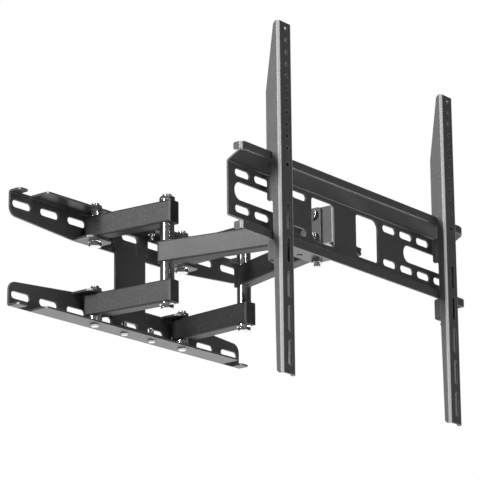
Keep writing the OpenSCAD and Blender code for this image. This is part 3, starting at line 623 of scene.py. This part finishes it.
def moulded_plastic(name, look):
    """Moulded plastic with a faint spark texture."""
    finish = Finish(name)
    grain = finish.noise(look.grain)
    paler = [SPARK_PALER * part for part in look.colour]
    finish.set(
        Base_Color=finish.blend(grain.between(*SPARK_SHOWS), look.colour, paler),
        Roughness=look.sheen + SPARK_ROUGH * grain,
    )
    finish.relief(grain, look.bump, look.edge)
    return finish.material


def finished_piece(name, mesh, body, material):
    """Makes an object from a mesh, shaded smooth, with its finish, on its body."""
    piece = bpy.data.objects.new(name, mesh)
    bpy.context.scene.collection.objects.link(piece)
    for face in mesh.polygons:
        face.use_smooth = True
    mesh.materials.append(material)
    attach(piece, body)


def swept_mesh(name, rings):
    """A closed tube through rings of points, with both ends capped."""
    made = bmesh.new()
    rows = [[made.verts.new(point) for point in ring] for ring in rings]
    count = len(rows[0])
    for here, there in zip(rows, rows[1:]):
        for i in range(count):
            j = (i + 1) % count
            made.faces.new((here[i], here[j], there[j], there[i]))
    made.faces.new(list(reversed(rows[0])))
    made.faces.new(rows[-1])
    bmesh.ops.recalc_face_normals(made, faces=made.faces)
    mesh = bpy.data.meshes.new(name)
    made.to_mesh(mesh)
    made.free()
    return mesh


def side_of(axis):
    """Two unit vectors that stand square on an axis."""
    first = axis.orthogonal().normalized()
    return first, axis.cross(first)


def thread_rings(start, axis, length, radius, pitch, sizes):
    """Rings of a ridge that winds round a shank, thinner towards both ends."""
    first, second = side_of(axis)
    half = 0.5 * sizes.share * pitch
    turns = (length - 2 * half) / pitch
    count = max(THREAD_SECTIONS, int(turns * sizes.steps))
    foot = radius - sizes.root
    fade_steps = THREAD_FADE * sizes.steps
    rings = []
    for i in range(count + 1):
        turn = turns * i / count
        angle = 2 * math.pi * turn
        out = math.cos(angle) * first + math.sin(angle) * second
        fade = min(1, i / fade_steps, (count - i) / fade_steps)
        middle = start + axis * (half + pitch * turn)
        crest = foot + (sizes.root + sizes.rise) * max(fade, THREAD_TIP)
        rings.append([
            middle - axis * half + out * foot,
            middle - axis * sizes.crest * half + out * crest,
            middle + axis * sizes.crest * half + out * crest,
            middle + axis * half + out * foot,
        ])
    return rings


def bead_rings(start, end, sizes):
    """Rings of a weld bead from start to end, with a swell at each ripple and closed ends."""
    axis = end - start
    length = axis.length
    axis.normalize()
    first, second = side_of(axis)
    count = max(BEAD_SECTIONS, int(sizes.steps * length / sizes.ripple))
    turns = [2 * math.pi * k / sizes.sides for k in range(sizes.sides)]
    rings = []
    for i in range(count + 1):
        along = length * i / count
        swell = 1 + sizes.swell * abs(math.sin(math.pi * along / sizes.ripple))
        to_end = max(0, min(along, length - along))
        close = max(BEAD_TIP, math.sqrt(min(1, to_end / sizes.radius)))
        wide = sizes.radius * swell * close
        rings.append([
            start + axis * along + wide * (math.cos(turn) * first + math.sin(turn) * second)
            for turn in turns
        ])
    return rings


def over(place, height):
    """The point over or under a place at that height."""
    return Vector((place.x, place.y, height))


def side_shanks(side):
    """The threaded ends of one side's wall bolts, elbow pin, yoke pin and lock screw."""
    wall = joint_place(side + "_wall_pivot")
    bolt_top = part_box("wall_pivot_bolts")[1].z
    wall_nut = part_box("wall_pivot_nuts")[1].z
    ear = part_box("wall_pivot_washers")[1].z
    elbow = joint_place(side + "_elbow_pivot")
    elbow_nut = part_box(side + "_elbow_nut")[1].z
    elbow_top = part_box(side + "_elbow_pin")[1].z
    pin_low, pin_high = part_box(side + "_yoke_pin")
    yoke_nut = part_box("yoke_nuts")[0].z
    screw_low, screw_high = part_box(side + "_lock_screw")
    pin = over((pin_low + pin_high) / 2, pin_low.z)
    neck = over((screw_low + screw_high) / 2, screw_low.z + LOCK_SCREW_HEAD)
    links = side + "_first_links"
    return [
        ("upper_wall", "wall_frame", over(wall, wall_nut), UP, bolt_top - wall_nut, *M10_FINE),
        ("lower_wall", "wall_frame", over(wall, WALL_NUT_HIGH - ear), UP, WALL_BOLT_TIP, *M10_FINE),
        ("elbow", links, over(elbow, elbow_nut), UP, elbow_top - elbow_nut, *M12_FINE),
        ("yoke", "yoke_head", pin, UP, yoke_nut - pin_low.z, *M8),
        ("lock", side + "_lock", neck, UP, screw_high.z - neck.z, *M5),
    ]


def head_shanks():
    """The threaded ends of the tilt pivot bolt and of the tilt lock bolt."""
    across = joint_axis("head_tilt")
    tilt = joint_place("head_tilt")
    lock = joint_place("lock_knob_turn")
    face = tilt + across * TILT_NUT_FACE
    shanks = [("tilt_pivot", "yoke_head", face, across, TILT_BOLT_TIP, *M8)]
    for side, (start, length) in LOCK_BOLT_ENDS.items():
        tip = lock + across * start
        shanks.append((f"lock_bolt_{side}", "lock_handle", tip, across, length, *M8))
    return shanks


def plate_shanks(side):
    """The threaded ends of the centre plate's screws, on side -1 or 1."""
    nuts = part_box("plate_nuts")
    x = side * (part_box("plate_screws")[1].x - PLATE_SCREW_INSET)
    y = (nuts[0].y + nuts[1].y) / 2
    nut = nuts[1].z - PLATE_NUT_HIGH
    return [
        (name, "wall_frame", Vector((x, y, start)), UP, nut - PLATE_SCREW_TIP, *M6)
        for name, start in (("upper_plate", PLATE_SCREW_TIP), ("lower_plate", -nut))
    ]


def shank_ends():
    """Name, body, start, axis, length, radius and pitch of each threaded end."""
    ends = []
    for side in ("left", "right"):
        ends += [(f"{side}_{name}_thread", *rest) for name, *rest in side_shanks(side)]
    ends += [(f"{name}_thread", *rest) for name, *rest in head_shanks()]
    for side, sign in (("left", -1), ("right", 1)):
        ends += [(f"{side}_{name}_thread", *rest) for name, *rest in plate_shanks(sign)]
    return ends


class TVMOUNT_OT_coat_sheets(bpy.types.Operator):
    """Coats the rails, plate, yoke, fork, crossbar and brackets in satin black"""

    bl_idname = "tvmount.coat_sheets"
    bl_label = "Coat the folded sheets"

    def execute(self, context):
        give(nodes_of(SHEET_SLOT), powder_coat(SHEET_MATERIAL, context.scene.tv_mount_sheet))
        return {"FINISHED"}


class TVMOUNT_OT_coat_arms(bpy.types.Operator):
    """Coats the six box links in textured charcoal"""

    bl_idname = "tvmount.coat_arms"
    bl_label = "Coat the arms"

    def execute(self, context):
        coat = powder_coat("charcoal_texture_coat", context.scene.tv_mount_arm)
        give(nodes_of(ARM_SLOT), coat)
        return {"FINISHED"}


class TVMOUNT_OT_plate_hardware(bpy.types.Operator):
    """Plates the pins, sleeves, bolts, nuts, washers and screws in bright zinc"""

    bl_idname = "tvmount.plate_hardware"
    bl_label = "Plate the hardware"

    def execute(self, context):
        give(nodes_of(ZINC_SLOT), zinc_plate(ZINC_MATERIAL, context.scene.tv_mount_zinc))
        return {"FINISHED"}


class TVMOUNT_OT_mould_knob(bpy.types.Operator):
    """Gives the star knob its moulded plastic"""

    bl_idname = "tvmount.mould_knob"
    bl_label = "Mould the knob"

    def execute(self, context):
        plastic = moulded_plastic("black_moulded_plastic", context.scene.tv_mount_knob)
        give(nodes_of(KNOB_SLOT), plastic)
        return {"FINISHED"}


class TVMOUNT_OT_cut_threads(bpy.types.Operator):
    """Winds a thread round each shank end that shows"""

    bl_idname = "tvmount.cut_threads"
    bl_label = "Cut the threads"

    def execute(self, context):
        zinc = bpy.data.materials[ZINC_MATERIAL]
        for name, body, *shank in shank_ends():
            rings = thread_rings(*shank, context.scene.tv_mount_thread)
            finished_piece(name, swept_mesh(name, rings), body, zinc)
        return {"FINISHED"}


class TVMOUNT_OT_lay_welds(bpy.types.Operator):
    """Lays the weld beads that hold the fork on the yoke and the tilt bracket on the crossbar"""

    bl_idname = "tvmount.lay_welds"
    bl_label = "Lay the weld beads"

    def execute(self, context):
        coat = bpy.data.materials[SHEET_MATERIAL]
        across = joint_axis("head_tilt")
        ahead = Vector((across.y, -across.x, 0))
        tilt = joint_place("head_tilt")
        for pair, body, half, forward, low, high in WELDS:
            for side, sign in (("left", -1), ("right", 1)):
                foot = tilt + across * sign * half + ahead * forward
                rings = bead_rings(over(foot, low), over(foot, high), context.scene.tv_mount_weld)
                name = f"{side}_{pair}"
                finished_piece(name, swept_mesh(name, rings), body, coat)
        return {"FINISHED"}


def soft_box(name, target, turn, rise, away, wide, high, power):
    """Sets an area light that faces a target from a turn and a rise, unseen by the camera."""
    data = bpy.data.lights.new(name, "AREA")
    data.shape = "RECTANGLE"
    data.size = wide
    data.size_y = high
    data.energy = power
    turn, rise = math.radians(turn), math.radians(rise)
    level = math.cos(rise)
    sight = Vector((math.cos(turn) * level, math.sin(turn) * level, math.sin(rise)))
    lamp = bpy.data.objects.new(name, data)
    bpy.context.scene.collection.objects.link(lamp)
    lamp.location = target + away * sight
    lamp.rotation_mode = "QUATERNION"
    lamp.rotation_quaternion = (-sight).to_track_quat("-Z", "Y")
    lamp.visible_camera = False


def plain_floor(sizes):
    """Lays a pale matt floor under the mount."""
    half = sizes.floor_span / 2
    mesh = bpy.data.meshes.new("floor")
    corners = [(-half, -half, 0), (half, -half, 0), (half, half, 0), (-half, half, 0)]
    mesh.from_pydata(corners, [], [(0, 1, 2, 3)])
    floor = bpy.data.objects.new("floor", mesh)
    bpy.context.scene.collection.objects.link(floor)
    floor.location.z = -sizes.floor_drop
    finish = Finish("pale_floor")
    darker = [CLOUD_SHADE * part for part in sizes.floor_colour]
    pale = finish.blend(finish.noise(CLOUD_SIZE), sizes.floor_colour, darker)
    finish.set(
        Base_Color=pale,
        Roughness=FLOOR_ROUGH,
        Emission_Color=pale,
        Emission_Strength=sizes.floor_glow,
    )
    mesh.materials.append(finish.material)


def pale_air(sizes):
    """Sets light from all round, dimmer from the right, and a brighter background."""
    world = bpy.data.worlds.new("pale_air")
    air = NodeTree(world)
    seen = air.node("ShaderNodeLightPath", output="Is Camera Ray")
    aim = air.node("ShaderNodeTexCoord", output="Generated")
    leftward = (-1 * aim.part("X")).between(*AIR_RISE)
    glow = sizes.air * leftward.spread(AIR_RIGHT, 1)
    strength = seen * sizes.backdrop + (1 - seen) * glow
    air.feed(air.tree.nodes["Background"], {"Color": (1, 1, 1, 1), "Strength": strength})
    bpy.context.scene.world = world


def photo_camera(sizes):
    """Sets the camera at the photograph's place, direction and lens."""
    turn, rise = sizes.camera_turn, sizes.camera_rise
    level = math.cos(rise)
    ahead = Vector((math.sin(turn) * level, math.cos(turn) * level, math.sin(rise)))
    right = Matrix.Rotation(sizes.camera_roll, 3, ahead) @ ahead.cross(UP).normalized()
    turned = Matrix((right, right.cross(ahead), -ahead)).transposed().to_4x4()
    data = bpy.data.cameras.new("camera")
    data.sensor_width = SENSOR_WIDTH
    data.lens = sizes.camera_lens
    camera = bpy.data.objects.new("camera", data)
    bpy.context.scene.collection.objects.link(camera)
    camera.matrix_world = Matrix.Translation(sizes.camera_place) @ turned
    bpy.context.scene.camera = camera


class TVMOUNT_OT_set_stage(bpy.types.Operator):
    """Sets the floor, the soft lights and the camera"""

    bl_idname = "tvmount.set_stage"
    bl_label = "Set the stage"

    def execute(self, context):
        sizes = context.scene.tv_mount_stage
        middle = (CAD_BOX[0] + CAD_BOX[1]) / 2
        plain_floor(sizes)
        pale_air(sizes)
        for name, *light in LIGHTS:
            soft_box(name, middle, *light)
        photo_camera(sizes)
        context.scene.view_settings.view_transform = "Standard"
        return {"FINISHED"}


class TVMOUNT_PT_dresser(bpy.types.Panel):
    """The mount's finishes and stage"""

    bl_idname = "TVMOUNT_PT_dresser"
    bl_label = "TV mount"
    bl_space_type = "VIEW_3D"
    bl_region_type = "UI"
    bl_category = "TV mount"

    def draw(self, context):
        for operator in OPERATORS:
            self.layout.operator(operator.bl_idname)
        for name in GROUPS:
            group = getattr(context.scene, name)
            box = self.layout.box()
            box.label(text=name.replace("tv_mount_", "").capitalize())
            for key in group.__annotations__:
                box.prop(group, key)


GROUPS = {
    "tv_mount_sheet": SheetFinish,
    "tv_mount_arm": ArmFinish,
    "tv_mount_zinc": ZincFinish,
    "tv_mount_knob": KnobFinish,
    "tv_mount_thread": ThreadSizes,
    "tv_mount_weld": WeldSizes,
    "tv_mount_stage": StageSizes,
}
OPERATORS = (
    TVMOUNT_OT_coat_sheets,
    TVMOUNT_OT_coat_arms,
    TVMOUNT_OT_plate_hardware,
    TVMOUNT_OT_mould_knob,
    TVMOUNT_OT_cut_threads,
    TVMOUNT_OT_lay_welds,
    TVMOUNT_OT_set_stage,
)


def register():
    for name, group in GROUPS.items():
        bpy.utils.register_class(group)
        setattr(bpy.types.Scene, name, PointerProperty(type=group))
    for operator in OPERATORS:
        bpy.utils.register_class(operator)
    bpy.utils.register_class(TVMOUNT_PT_dresser)


def unregister():
    bpy.utils.unregister_class(TVMOUNT_PT_dresser)
    for operator in reversed(OPERATORS):
        bpy.utils.unregister_class(operator)
    for name, group in reversed(GROUPS.items()):
        delattr(bpy.types.Scene, name)
        bpy.utils.unregister_class(group)


def main():
    register()
    bpy.ops.tvmount.coat_sheets()
    bpy.ops.tvmount.coat_arms()
    bpy.ops.tvmount.plate_hardware()
    bpy.ops.tvmount.mould_knob()
    bpy.ops.tvmount.cut_threads()
    bpy.ops.tvmount.lay_welds()
    bpy.ops.tvmount.set_stage()


if __name__ == "__main__":
    main()
